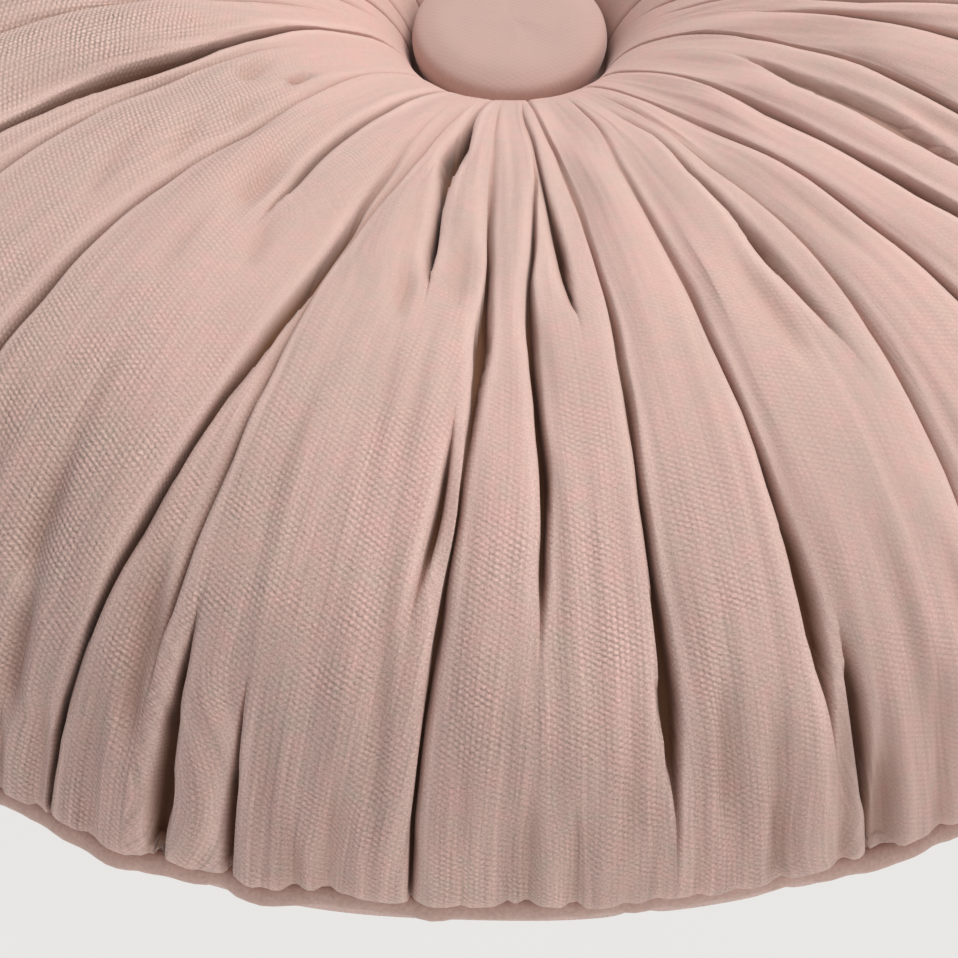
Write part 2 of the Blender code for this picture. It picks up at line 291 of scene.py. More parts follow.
# Where the nap has been brushed up over the weave: azimuth, share of the radius, reach in mm, and
# how much of the weave it hides.
BRUSHED = [
    (27.0, 0.78, 42.0, 0.85),
    (38.0, 0.55, 45.0, 0.8),
    (12.0, 0.42, 38.0, 0.7),
    (22.0, 0.96, 22.0, 0.7),
    (-10.0, 0.40, 30.0, 0.6),
    (4.0, 0.58, 34.0, 0.6),
    (-14.0, 0.58, 26.0, 0.6),
    (16.0, 0.68, 30.0, 0.65),
    (-45.0, 0.25, 30.0, 0.5),
    (58.0, 0.50, 50.0, 0.6),
]

# Patches on the left of the front where the nap is thinner, so that the weave shows more, and the cloth is
# painted greyer and darker as shade: azimuth, share, reach and strength.
BARE_AND_SHADED = [(-66.0, 0.44, 62.0, 0.9), (-82.0, 0.80, 50.0, 0.5), (-32.0, 0.84, 42.0, 0.45)]
BARE_AND_SHADED_FROM = (0.20, 0.25)  # share of the radius from which that shows, and over how much
NAP_THINS = (0.30, 0.62)  # and from which the nap gets thin enough to show the weave

ROWS_FRONT = 80
ROWS_BACK = 24
COLUMNS_PER_DEGREE = (4.4, 1.7)  # towards -Y, where most of the folds lie, and elsewhere
COLUMN_CROWDING = 0.72  # how much closer the columns stand at the folds
ROW_CROWDING = {1: (1.2, 1.8), -1: (1.0, 1.0)}  # of the front and the back: at the button, at the seam
CROWDING_REACH = (12.0, 30.0)  # mm
CURVE_STEPS = 1200
RIM_SHARE = 0.97  # from here on a row's share goes by distance, because the rim bulges
BACK_PANELS = 11  # stretches of the back over which its weave runs unbroken
CLOTH_OFFSET = 0.037  # m a column, so that no stretch of cloth repeats another


def eased(knots, values, slope, spots):
    """Values at these spots on a smooth curve through the knots, which run down the first axis."""
    at = np.clip(np.searchsorted(knots, spots, side="right") - 1, 0, len(knots) - 2)
    run = knots[at + 1] - knots[at]
    t = ((spots - knots[at]) / run)[:, None]
    run = run[:, None]
    return (
        (2 * t**3 - 3 * t**2 + 1) * values[at]
        + (t**3 - 2 * t**2 + t) * run * slope[at]
        + (3 * t**2 - 2 * t**3) * values[at + 1]
        + (t**3 - t**2) * run * slope[at + 1]
    )


def within_half_turn(degrees):
    return (degrees + 180.0) % 360.0 - 180.0


def distance_along(points):
    return np.r_[0.0, np.cumsum(np.linalg.norm(np.diff(points, axis=0), axis=1))]


def section_curve(crest, count, crowding):
    """Points along a smooth curve through a section, closer together where crowding says so."""
    points = np.array(crest + [(SEAM_RADIUS / MM, 0.0)])
    step = distance_along(points)
    slope = np.gradient(points, step, axis=0)
    curve = eased(step, points, slope, np.linspace(0.0, step[-1], CURVE_STEPS))
    length = distance_along(curve)
    at_button = crowding[0] * np.exp(-length / CROWDING_REACH[0])
    at_seam = crowding[1] * np.exp((length - length[-1]) / CROWDING_REACH[1])
    density = 1.0 + at_button + at_seam
    paid = np.r_[0.0, np.cumsum(0.5 * (density[1:] + density[:-1]) * np.diff(length))]
    spots = np.interp(np.linspace(0.0, paid[-1], count), paid, length)
    rows = np.column_stack([np.interp(spots, length, curve[:, k]) for k in (0, 1)])
    turning = np.gradient(curve, length, axis=0)
    along = np.column_stack([np.interp(spots, length, turning[:, k]) for k in (0, 1)])
    along /= np.linalg.norm(along, axis=1)[:, None]
    normal = np.column_stack([-along[:, 1], along[:, 0]])
    outer = OUTER_RADIUS / MM
    widest = rows[:, 0].argmax()
    rim = np.interp(RIM_SHARE * outer, rows[:widest, 0], spots[:widest])
    past_rim = RIM_SHARE + (1.0 - RIM_SHARE) * (spots - rim) / (spots[-1] - rim)
    share = np.where(spots < rim, rows[:, 0] / outer, past_rim)
    return rows, normal, share, spots


def smooth_rise(value, start=0.0, run=1.0):
    """From 0 at the start to 1 at the end of the run."""
    value = np.clip((value - start) / run, 0.0, 1.0)
    return value * value * (3.0 - 2.0 * value)


def smooth_fall(value, end, run):
    """From 1 at the start of the run to 0 at its end."""
    return smooth_rise((end - value) / run)


def along_fold(table, share):
    """What a table gives at each crossing, folds down, at every share, shares across."""
    knots = np.array(CROSSINGS)
    slope = np.gradient(table, knots, axis=1)
    return eased(knots, table.T, slope.T, np.clip(share, 0.10, 0.97)).T


def rest_of_front(random):
    """Folds on the far side of the front, round from the last fold to the first."""
    start, end = np.array(FOLDS[-1][0]), np.array(FOLDS[0][0]) + 360.0
    folds = []
    for number in range(1, REST_FOLDS + 1):
        stray = random.uniform(-REST_SPREAD, REST_SPREAD, 5)
        stray = stray.mean() + 0.4 * stray
        azimuths = start + (end - start) * (number + stray) / (REST_FOLDS + 1)
        deepest = random.uniform(*REST_DEPTH)
        depths = deepest * np.clip(REST_RISE * random.uniform(0.7, 1.2, 5), 0.1, 1.1)
        last = random.uniform(*(REST_STOPS_SHORT if number % 5 == 3 else REST_STOPS))
        ends = (random.uniform(*REST_STARTS), last, *random.uniform(*REST_SHOULDER, 2))
        widest_at, widest_run = random.uniform(0.35, 0.95), random.uniform(0.04, 0.10)
        gape = (widest_at, widest_run, max(0.0, random.uniform(*REST_GAPE)))
        folds.append((azimuths, depths, ends, random.choice(LEANS), gape))
    return folds


def folds_of_back(random):
    """Evenly gathered at the button, straying a little towards the seam."""
    folds = []
    for number in range(BACK_FOLDS):
        stray = np.cumsum(random.uniform(-BACK_STRAY, BACK_STRAY, 5))
        azimuths = FOLDS[0][0][0] + 360.0 * number / BACK_FOLDS + stray
        depths = random.uniform(*BACK_DEPTH) * random.uniform(0.7, 1.1, 5)
        ends = (BACK_START, random.uniform(*BACK_STOPS), *random.uniform(*BACK_SHOULDER, 2))
        folds.append((azimuths, depths, ends, random.choice(LEANS), NO_WIDER))
    return folds


def bumps_round(azimuth, bumps):
    """The sum of bumps, each with its azimuth and spread in degrees and its height."""
    total = np.zeros_like(azimuth)
    for middle, spread, height in bumps:
        off = within_half_turn(np.degrees(azimuth) - middle)
        total += height * np.exp(-((off / spread) ** 2))
    return total


def seam_waver(azimuth):
    """Height in metres by which the seam strays from its plane."""
    height = 0.0
    for count, wave_height, phase in SEAM_WAVES:
        height = height + wave_height * np.sin(count * azimuth + math.radians(phase))
    return height * MM


def columns_of(folds):
    """Where the columns of points stand: the fold on each one's left, and how far across."""
    rim = along_fold(np.array([fold[0] for fold in folds]), np.array([0.9]))[:, 0]
    ends = np.r_[rim[1:], rim[0] + 360.0]
    left, across = [], []
    for number, (start, end) in enumerate(zip(rim, ends)):
        facing = abs(within_half_turn(0.5 * (start + end))) < 75.0
        count = 2 * max(5, round((end - start) * COLUMNS_PER_DEGREE[0 if facing else 1] / 2))
        t = np.arange(count) / count
        left += [number] * count
        across += list(t - COLUMN_CROWDING / (2 * math.pi) * np.sin(2 * math.pi * t))
    return np.array(left), np.array(across)


def fold_runs(folds, share, random):
    """Each fold's path, depth and opening at every share, and none of them quite even."""
    path = along_fold(np.array([fold[0] for fold in folds]), share)
    depth = np.maximum(0.0, along_fold(np.array([fold[1] for fold in folds]), share))
    radius = share * OUTER_RADIUS / MM
    opening = np.zeros_like(depth)
    uneven = np.zeros_like(depth)
    for number, fold in enumerate(folds):
        first, last = fold[2][:2]
        gape_at, gape_run, gape = fold[4]
        off_seat = smooth_rise(share, *SEAT_ENDS)
        rise = smooth_rise((share - first + FADE) / FADE) * off_seat
        near_end = min(FADE, 2.2 * (1.0 - last) + 0.02)
        fall = smooth_fall(share, last + 0.5 * near_end, near_end)
        for count, strength in WANDER_WAVES:
            wave = np.sin(2 * math.pi * (share * count + random.uniform()))
            uneven[number] += strength * wave / 2.0
        depth[number] *= rise * fall * (1.0 + 0.10 * uneven[number])
        deep = smooth_rise(depth[number], *SLIT_FROM)
        slit = SLIT * deep * (1.0 + 0.5 * np.roll(uneven[number], 5))
        opening[number] = 0.5 * (slit + gape * fall * np.exp(-(((share - gape_at) / gape_run) ** 2)))
        lean = fold[3] * np.minimum(depth[number], LEAN_SHIFT)
        path[number] += np.degrees((WANDER * uneven[number] - lean) / radius)
    return path, depth, opening, uneven


def strongest_patch(patches, turn, share, radius):
    """The strongest of some round soft patches, each with its azimuth, share, reach and strength."""
    strongest = np.zeros_like(turn)
    for middle, at_share, reach, strength in patches:
        x = np.radians(within_half_turn(np.degrees(turn) - middle)) * radius
        y = (share[:, None] - at_share) * OUTER_RADIUS / MM
        strongest = np.maximum(strongest, strength * np.exp(-(x**2 + y**2) / reach**2))
    return strongest


def add_dents(trough, dents, azimuth, radius, share):
    """Deepens the trough by dents, each along its own line."""
    for start, start_share, end, end_share, depth, width in dents:
        first = np.array([math.radians(start) * start_share, start_share]) * OUTER_RADIUS / MM
        last = np.array([math.radians(end) * end_share, end_share]) * OUTER_RADIUS / MM
        run = last - first
        x = np.radians(within_half_turn(azimuth)) * radius - first[0]
        y = share[:, None] * OUTER_RADIUS / MM - first[1]
        along = (x * run[0] + y * run[1]) / (run @ run)
        aside = (x * run[1] - y * run[0]) / np.linalg.norm(run)
        fade = smooth_rise(along, -0.15, 0.7) * smooth_fall(along, 1.15, 0.3)
        trough += depth * fade * np.exp(-((aside / width) ** 2) * (2.0 - fade))


def plumpness(turn, share, spots, random):
    """How much more or less than its neighbours each stretch of cloth is filled, in mm."""
    down = spots[:, None]
    plump = np.zeros_like(turn)
    for waves, run_length, height in SWELLS:
        for _ in range(3):
            phase, drift = random.uniform(0, 2 * math.pi, 2)
            swell = np.sin(down / run_length * math.pi + drift)
            plump += height * np.sin(waves * turn + phase) * swell / 1.7
    for waves, height in RIPPLES:
        phase, drift, patch = random.uniform(0, 2 * math.pi, 4)[:3]
        swell = 0.5 + 0.5 * np.sin(round(waves / 5) * turn + patch + down / 24.0)
        nearer = 0.35 + 0.9 * smooth_rise(share, 0.55, 0.40)[:, None]
        bend = 1.3 * np.sin(down / 30.0 + drift)
        plump += height * nearer * swell * np.sin(waves * turn + phase + bend)
    return plump * (smooth_rise(share, 0.12, 0.15) * smooth_fall(share, 1.0, 0.03))[:, None]


def sunk_rows(folds, dents, section, left, across, random):
    """Points of the front, rows by columns, with how sunk each is, which sets its painted fold shade; how
    near a fold's edge; how bare; and where it is barer and painted darker as shade.
    """
    rows, normal, share, spots = section
    lines, depths, openings, uneven = fold_runs(folds, share, random)
    after = np.vstack([lines[1:], lines[:1] + 360.0])
    azimuth = (lines[left] + (after[left] - lines[left]) * across[:, None]).T
    radius = rows[:, 0][:, None]
    sink, trough, slant, lip = (np.zeros_like(azimuth) for _ in range(4))
    drawn = (DRAWN_IN + (1.0 - DRAWN_IN) * smooth_rise(share, *DRAWN_OVER))[:, None]
    for number, fold in enumerate(folds):
        left_shoulder, right_shoulder = fold[2][2:]
        here = depths[number][:, None]
        open_by = openings[number][:, None]
        off = within_half_turn(azimuth - lines[number][:, None]) * math.pi / 180.0 * radius
        stretch = drawn * (1.0 + 0.12 * np.roll(uneven[number], 9)[:, None])
        shoulder = np.where(off < 0, left_shoulder, right_shoulder) * stretch
        away = np.maximum(np.abs(off) - open_by, 0.0)
        nearness = np.clip(1.0 - away / shoulder, 0.0, 1.0)
        # The lips are round, and where the fold is deeper than that its walls drop steeply.
        lips = np.minimum(here, LIP_ROUND * shoulder)
        drop = SLIT_CLOSES * (here - lips) * smooth_rise(1.0 - away / SLIT_WALL)
        dip = lips * (1.0 - np.sqrt(1.0 - nearness**2)) + drop
        sink = np.maximum(sink, dip)
        slant += fold[3] * np.minimum(dip, LEAN_DEPTH)
        trough += TROUGH_DEPTH * here * np.exp(-((off / (TROUGH_WIDTH * shoulder)) ** 2))
        # A band along each lip where the nap lies flat and a highlight is painted.
        edge = np.exp(-(((np.abs(off) - open_by - FLAT_AND_LIT_EDGE[0]) / FLAT_AND_LIT_EDGE[1]) ** 2))
        lip = np.maximum(lip, np.clip(here / 4.0, 0.0, 1.0) * edge)
    add_dents(trough, dents, azimuth, radius, share)
    turn = np.radians(azimuth)
    plump = plumpness(turn, share, spots, random)
    sewn = smooth_fall(share, 1.0, SEWN_OVER)[:, None]
    # How far down the cloth lies in folds and dips, which sets how much painted shade it takes.
    fold_shade = (sink + 0.5 * trough) * sewn
    sink = (sink + trough) * sewn - plump
    rim = smooth_rise(share[:, None], *RIM_MOVES)
    sag = bumps_round(turn, SEAM_SAGS) * rim
    lap = bumps_round(turn, SEAM_LAPS) * rim * sewn
    azimuth = turn + slant * sewn / radius
    out = radius - normal[:, :1] * sink + SAG_PULLS * sag + LAP_PULLS[0] * lap
    height = rows[:, 1:] - normal[:, 1:] * sink - SAG_PULLS * sag - LAP_PULLS[1] * lap
    waver = seam_waver(azimuth) * smooth_rise(radius * MM, *SEAM_WAVES_FROM)
    z = SEAM_HEIGHT + height * MM + waver
    points = round_middle(out, azimuth, z)
    near_button = smooth_fall(radius, *STRAY_REACH)[..., None]
    points[..., :2] += np.array(BUTTON_STRAY[1]) * near_button
    # Where the nap is brushed up over the weave, and where it is thinner and the cloth is painted darker
    # as shade.
    hidden, bare_and_shaded = (strongest_patch(patches, azimuth, share, radius) for patches in (BRUSHED, BARE_AND_SHADED))
    bare_and_shaded *= smooth_rise(share[:, None], *BARE_AND_SHADED_FROM)
    thin = smooth_rise(share[:, None], *NAP_THINS)
    bare = np.maximum(thin * (1.0 - hidden), 0.9 * bare_and_shaded)
    return points, np.clip(fold_shade / FULL_SHADE_DEPTH, 0.0, 1.0), np.clip(lip, 0.0, 1.0), bare, bare_and_shaded


def round_middle(radius, azimuth, z):
    """Points in metres, from radii in mm, azimuths counted from -Y and heights in metres."""
    return np.stack([radius * MM * np.sin(azimuth), -radius * MM * np.cos(azimuth), z], axis=-1)


def quads_between(index):
    """Quads between each row of points and the next, where the rows close round the cushion."""
    after = np.roll(index, -1, axis=1)
    return np.stack([index[:-1], index[1:], after[1:], after[:-1]], axis=-1).reshape(-1, 4)


def add_object(name, data):
    made = bpy.data.objects.new(name, data)
    bpy.context.scene.collection.objects.link(made)
    return made


def settled(points, sunk, lip, share):
    """The front with its cloth simulated on every second point, and the rest carried along."""
    held = np.maximum(np.clip(3.0 * sunk, 0.0, 1.0), 0.6 * lip)
    by_seam = smooth_rise(share, *HELD_BY_SEAM)
    by_button = smooth_fall(share, *HELD_BY_BUTTON)
    held = np.maximum(held, (by_seam + by_button)[:, None])
    loose, hold = points[::2, ::2], held[::2, ::2]
    quads = quads_between(np.arange(hold.size).reshape(hold.shape))
    mesh = bpy.data.meshes.new("loose cloth")
    mesh.from_pydata(loose.reshape(-1, 3).tolist(), [], quads.tolist())
    sheet = add_object("loose cloth", mesh)
    pins = sheet.vertex_groups.new(name="held")
    tenths = np.round(10.0 * hold.ravel())
    for tenth in range(1, 11):
        pins.add(np.flatnonzero(tenths == tenth).tolist(), tenth / 10.0, "REPLACE")
    cloth = sheet.modifiers.new("cloth", "CLOTH")
    cloth.settings.quality = 5
    cloth.settings.mass = CLOTH_POINT_MASS
    cloth.settings.bending_stiffness = CLOTH_BENDING
    cloth.settings.use_pressure = True
    cloth.settings.uniform_pressure_force = FILLING_PRESSURE
    cloth.settings.shrink_min = -SPARE_CLOTH
    cloth.settings.vertex_group_mass = "held"
    cloth.settings.effector_weights.gravity = 0.0
    cloth.collision_settings.use_collision = False
    cloth.point_cache.frame_start, cloth.point_cache.frame_end = 1, SETTLING_FRAMES
    for step in range(1, SETTLING_FRAMES + 1):
        bpy.context.scene.frame_set(step)
    moved = np.empty(3 * hold.size, dtype=np.float32)
    sheet.evaluated_get(bpy.context.evaluated_depsgraph_get()).data.vertices.foreach_get("co", moved)
    move = moved.reshape(loose.shape).astype(float) - loose
    bpy.data.objects.remove(sheet, do_unlink=True)
    bpy.context.scene.frame_set(1)
    far = np.linalg.norm(move, axis=-1, keepdims=True)
    move *= np.minimum(1.0, SETTLES_AT_MOST * MM / np.maximum(far, 1e-9))
    # Smoothed a little, so that no kink of the coarser grid shows.
    move = 0.25 * np.roll(move, 1, axis=1) + 0.5 * move + 0.25 * np.roll(move, -1, axis=1)
    move[1:-1] = 0.25 * move[:-2] + 0.5 * move[1:-1] + 0.25 * move[2:]
    wide = np.repeat(move, 2, axis=1)
    wide[:, 1::2] = 0.5 * (move + np.roll(move, -1, axis=1))
    full = np.repeat(wide, 2, axis=0)
    full[1:-1:2] = 0.5 * (wide[:-1] + wide[1:])
    full[-1] = 0.0
    return points + full


def seam_gathers(random):
    """Short gathers that end in the seam, as dents with their length towards the button."""
    gathers = []
    for azimuth in np.arange(GATHERS) * 360.0 / GATHERS + random.uniform(-1.0, 1.0, GATHERS):
        length = random.uniform(*GATHER_LENGTH)
        depth = GATHER_DEPTH[0] + (GATHER_DEPTH[1] - GATHER_DEPTH[0]) * random.uniform() ** 2
        width = random.uniform(*GATHER_WIDTH)
        azimuth = within_half_turn(azimuth)
        tilt = random.uniform(-0.5, 0.5)
        starts_at = GATHER_ENDS[0] - 0.6 * length / (OUTER_RADIUS / MM)
        gathers.append((azimuth + tilt, starts_at, azimuth, GATHER_ENDS[1], depth, width))
    return gathers


def back_rows_of(folds, section, seam, random):
    """Points of the back, inwards from the row next to the seam, with how sunk each is."""
    rows, normal, share, _ = section
    lines, depths, _, _ = fold_runs(folds, share, random)
    turn = np.broadcast_to(seam, (len(rows), len(seam))).copy()
    radius = rows[:, 0][:, None]
    sink, slant, trough = (np.zeros_like(turn) for _ in range(3))
    for number, fold in enumerate(folds):
        here = depths[number][:, None]
        off = within_half_turn(np.degrees(turn) - lines[number][:, None]) * math.pi / 180.0 * radius
        shoulder = np.where(off < 0, fold[2][2], fold[2][3])
        nearness = np.clip(1.0 - np.abs(off) / shoulder, 0.0, 1.0)
        dip = here * (1.0 - np.sqrt(1.0 - nearness**2))
        sink = np.maximum(sink, dip)
        slant += fold[3] * dip
        trough += TROUGH_DEPTH * here * np.exp(-((off / BACK_TROUGH_WIDTH) ** 2))
    turn = turn + slant / radius
    out = radius - normal[:, :1] * (sink + trough)
    height = rows[:, 1:] - normal[:, 1:] * (sink + trough)
    waver = seam_waver(turn) * smooth_rise(radius * MM, *SEAM_WAVES_FROM)
    z = np.maximum(0.0, SEAM_HEIGHT - height * MM + waver)
    points = round_middle(out, turn, z)
    return points[-2::-1], np.clip(sink[-2::-1] / FULL_SHADE_DEPTH, 0.0, 1.0)


def cloth_across(points, starts):
    """Distance in metres across each stretch of cloth from its middle, at both sides of each cell,
    so that the weave keeps its size where the stretch narrows and is cut only at the starts."""
    rows, columns = points.shape[:2]
    chord = np.linalg.norm(np.roll(points, -1, axis=1) - points, axis=-1)
    over = np.zeros((rows, columns, 2))
    for start, end in zip(starts, starts[1:] + [starts[0] + columns]):
        cells = np.arange(start, end) % columns
        edges = np.concatenate([np.zeros((rows, 1)), np.cumsum(chord[:, cells], axis=1)], axis=1)
        edges -= edges[:, [len(cells) // 2]]
        edges += CLOTH_OFFSET * start
        over[:, cells, 0] = edges[:, :-1]
        over[:, cells, 1] = edges[:, 1:]
    return over


def corner_uvs(over, down):
    """The cloth's own coordinates at the four corners of each cell of a grid."""
    low, high = over[:-1], over[1:]
    near, far = (np.broadcast_to(row, low.shape[:2]) for row in (down[:-1, None], down[1:, None]))
    return np.stack(
        [
            np.stack([low[..., 0], near], -1),
            np.stack([high[..., 0], far], -1),
            np.stack([high[..., 1], far], -1),
            np.stack([low[..., 1], near], -1),
        ],
        axis=2,
    )


def cover_mesh(top, under):
    """The front, a join along the seam, the back with half as many columns, and a cap at each end."""
    index = np.arange(top[..., 0].size).reshape(top.shape[:2])
    behind = index.size + np.arange(under[..., 0].size).reshape(under.shape[:2])
    hub = index.size + behind.size
    first, seam, low, last = index[0], index[-1], behind[0], behind[-1]
    join = [seam[::2], low, np.roll(low, -1), np.roll(seam[::2], -1), seam[1::2]]
    first_cap = [np.full(len(first), hub), first, np.roll(first, -1)]
    last_cap = [np.full(len(last), hub + 1), np.roll(last, -1), last]
    parts = [quads_between(index), np.column_stack(join), quads_between(behind)]
    parts += [np.column_stack(first_cap), np.column_stack(last_cap)]
    middles = [top[0].mean(axis=0), under[-1].mean(axis=0)]
    vertices = np.concatenate([top.reshape(-1, 3), under.reshape(-1, 3), middles])
    mesh = bpy.data.meshes.new("cover")
    mesh.from_pydata(vertices.tolist(), [], sum((part.tolist() for part in parts), []))
    mesh.shade_smooth()
    return mesh


def lay_out_cloth(mesh, top, under, starts, down, back_down):
    """Gives each corner its place on the cloth before it was gathered, in metres."""
    half = under.shape[1]
    closed = np.concatenate([top[-1:, ::2], under])
    back_starts = list(range(0, half, max(1, half // BACK_PANELS)))[:BACK_PANELS]
    front_uv = corner_uvs(cloth_across(top, starts), down)
    back_uv = corner_uvs(cloth_across(closed, back_starts), back_down)
    seam_uv = back_uv[0]
    middle = 0.5 * (seam_uv[:, :1] + seam_uv[:, 3:])
    join_uv = np.concatenate([seam_uv, middle], axis=1)
    caps_uv = np.zeros((3 * (top.shape[1] + half), 2))
    corners = [front_uv.reshape(-1, 2), join_uv.reshape(-1, 2), back_uv[1:].reshape(-1, 2), caps_uv]
    layer = mesh.uv_layers.new(name="cloth")
    layer.data.foreach_set("uv", np.concatenate(corners).astype(np.float32).ravel())


def make_cover():
    random = np.random.default_rng(SEED)
    front = FOLDS + rest_of_front(random)
    back = folds_of_back(random)
    gathers = seam_gathers(random)
    left, across = columns_of(front)
    columns = len(left)
    section = section_curve(FRONT_CREST, ROWS_FRONT, ROW_CROWDING[1])
    share, spots = section[2:]
    front_rows = sunk_rows(front, DENTS + gathers, section, left, across, random)
    top, top_sunk, top_lip, bare, bare_and_shaded = front_rows
    top = settled(top, top_sunk, top_lip, share)
    # The back has half as many columns: its first row takes every second point of the seam.
    seam = np.unwrap(np.arctan2(top[-1, ::2, 0], -top[-1, ::2, 1]))
    back_section = section_curve(BACK_CREST, ROWS_BACK, ROW_CROWDING[-1])
    under, under_sunk = back_rows_of(back, back_section, seam, random)
    mesh = cover_mesh(top, under)

    long_folds = {k for k, fold in enumerate(front) if fold[2][1] - fold[2][0] > LONG_FOLD}
    starts = [k for k in range(columns) if left[k] in long_folds and across[k] == 0.0]
    back_down = (spots[-1] + back_section[3][-1] - back_section[3][::-1]) * MM
    lay_out_cloth(mesh, top, under, starts, spots * MM, back_down)
    near_seam = np.repeat(smooth_rise(share, *NEAR_SEAM), columns)
    marks = {
        # how sunk the cloth is, which also sets its painted fold shade
        "sunk": (top_sunk, under_sunk),
        "fold_edge": (top_lip, 0.0 * under_sunk),
        "bare_weave": (bare, 0.0 * under_sunk + BACK_BARE),
        # where the weave shows more and the cloth is painted greyer and darker as shade
        "bare_and_shaded": (bare_and_shaded, 0.0 * under_sunk),
        "near_seam": (near_seam, 0.0 * under_sunk),
    }
    for name, (on_front, on_back) in marks.items():
        attribute = mesh.attributes.new(name, "FLOAT", "POINT")
        points = np.r_[on_front.ravel(), on_back.ravel(), 0.0, 0.0]
        attribute.data.foreach_set("value", points.astype(np.float32))
    return add_object("cover", mesh)


def linear(hex_colour):
    """An sRGB colour such as "D1B1A7" as linear RGBA."""
    parts = [int(hex_colour[k : k + 2], 16) / 255 for k in (0, 2, 4)]
    return [p / 12.92 if p <= 0.04045 else ((p + 0.055) / 1.055) ** 2.4 for p in parts] + [1.0]


def node(tree, kind, *feeds, inputs=None, **settings):
    """Adds a node with its settings. Feeds fill the inputs that it uses in their order, and inputs
    fills others by name, each with a value, a socket, or a node's first output in use."""
    made = tree.nodes.new(kind)
    for name, value in settings.items():
        setattr(made, name, value)
    used = [socket for socket in made.inputs if socket.enabled]
    filled = list(zip(used, feeds)) + [(made.inputs[key], inputs[key]) for key in inputs or {}]
    for socket, value in filled:
        if isinstance(value, bpy.types.Node):
            value = next(output for output in value.outputs if output.enabled)
        if isinstance(value, bpy.types.NodeSocket):
            tree.links.new(value, socket)
        else:
            socket.default_value = value
    return made


def matt_cotton(name, roughness, specular, sheen, sheen_roughness):
    """A new cotton with its gloss and nap: the material, its node tree and its shader."""
    material = bpy.data.materials.new(name)
    material.use_nodes = True
    shader = material.node_tree.nodes["Principled BSDF"]
    shader.inputs["Roughness"].default_value = roughness
    shader.inputs["Specular IOR Level"].default_value = specular
    shader.inputs["Sheen Weight"].default_value = sheen
    shader.inputs["Sheen Roughness"].default_value = sheen_roughness
    return material, material.node_tree, shader


# Plain-woven cotton, 1 mm between warp threads and 0.54 mm between weft threads, with slubs and a
# short raised nap: where the nap is thin the weave shows as small dots of light over dark pits, in
# slanting rows and in columns of uneven brightness. At fold edges it is flattened and smooth.
CLOTH_ROSE = "D6B1A5"
CLOTH_GREIGE = "CAAEA1"
CLOTH_PINK = "DDAFA6"
CLOTH_SAGE = "CAB3A4"
CLOTH_EDGE_HIGHLIGHT = "E6C6BA"  # lighter along the edges of the folds: partly their flattened nap, partly a painted highlight where the rolled edge catches the light
CLOTH_FOLD_SHADE = "835C44"  # painted shade deep in the folds and in the dips beside them, a warm brown like light that has crossed from cloth to cloth
WARP_PER_MM = 1.0
DOTS_PER_MM = 0.93  # along a column: each thread comes up over every second weft

# How its threads, nap and dye vary, each from -0.5 to 0.5: along the cloth (True) or through the
# whole cushion, mm across, how stretched, and how many finer sizes it has and how strong they are.
EVEN = (1.0, 1.0, 1.0)
CLOTH_VARIES = {
    "warp sway": (True, 5.0, (1.0, 5.0, 1.0), 2.0, 0.5),
    "weft sway": (True, 6.0, (3.0, 1.0, 1.0), 2.0, 0.5),
    "warp jitter": (True, 1.1, EVEN, 2.0, 0.5),
    "weft jitter": (True, 1.3, EVEN, 2.0, 0.5),
    "rows": (True, 4.0, EVEN, 2.0, 0.5),
    "cross rows": (True, 3.0, EVEN, 2.0, 0.5),
    "columns": (True, 3.5, (1.0, 4.0, 1.0), 2.0, 0.5),
    "dots": (True, 0.9, EVEN, 2.0, 0.5),
    "slub": (True, 1.15, (1.0, 26.0, 1.0), 2.0, 0.65),
    "streak": (True, 4.5, (1.0, 14.0, 1.0), 3.0, 0.5),
    "grain": (True, 0.36, EVEN, 1.0, 0.5),
    "fuzz": (True, 1.5, EVEN, 3.0, 0.65),
    "sage tinge": (False, 4.5, EVEN, 3.0, 0.6),
    "pink blush": (False, 3.6, EVEN, 3.0, 0.6),
    "pink patches": (False, 24.0, EVEN, 3.0, 0.5),
    "mottle": (False, 44.0, EVEN, 3.0, 0.6),
    "thin nap": (False, 13.0, EVEN, 2.0, 0.5),
}
THREAD_HEIGHT = 0.00022  # m

MATHS = "ShaderNodeMath"
MIX = "ShaderNodeMix"
TIMES = {"operation": "MULTIPLY"}
TIMES_PLUS = {"operation": "MULTIPLY_ADD"}  # the first times the second, plus the third
UP_TO_ONE = {"operation": "MULTIPLY_ADD", "use_clamp": True}  # the same, kept from 0 to 1
COLOURS = {"data_type": "RGBA"}


def cloth_variation(tree):
    """The nodes for all of the cloth's variations, by name."""
    cloth = node(tree, "ShaderNodeUVMap", uv_map="cloth")
    cushion = node(tree, "ShaderNodeTexCoord").outputs["Object"]
    varies = {}
    for name, (along_cloth, size, stretch, detail, strength) in CLOTH_VARIES.items():
        scale = [1.0 / MM / size / k for k in stretch]
        place = node(tree, "ShaderNodeMapping", cloth if along_cloth else cushion, inputs={"Scale": scale})
        lumps = node(tree, "ShaderNodeTexNoise", place, 1.0, detail, strength)
        varies[name] = node(tree, MATHS, lumps, 0.5, operation="SUBTRACT")
    return varies


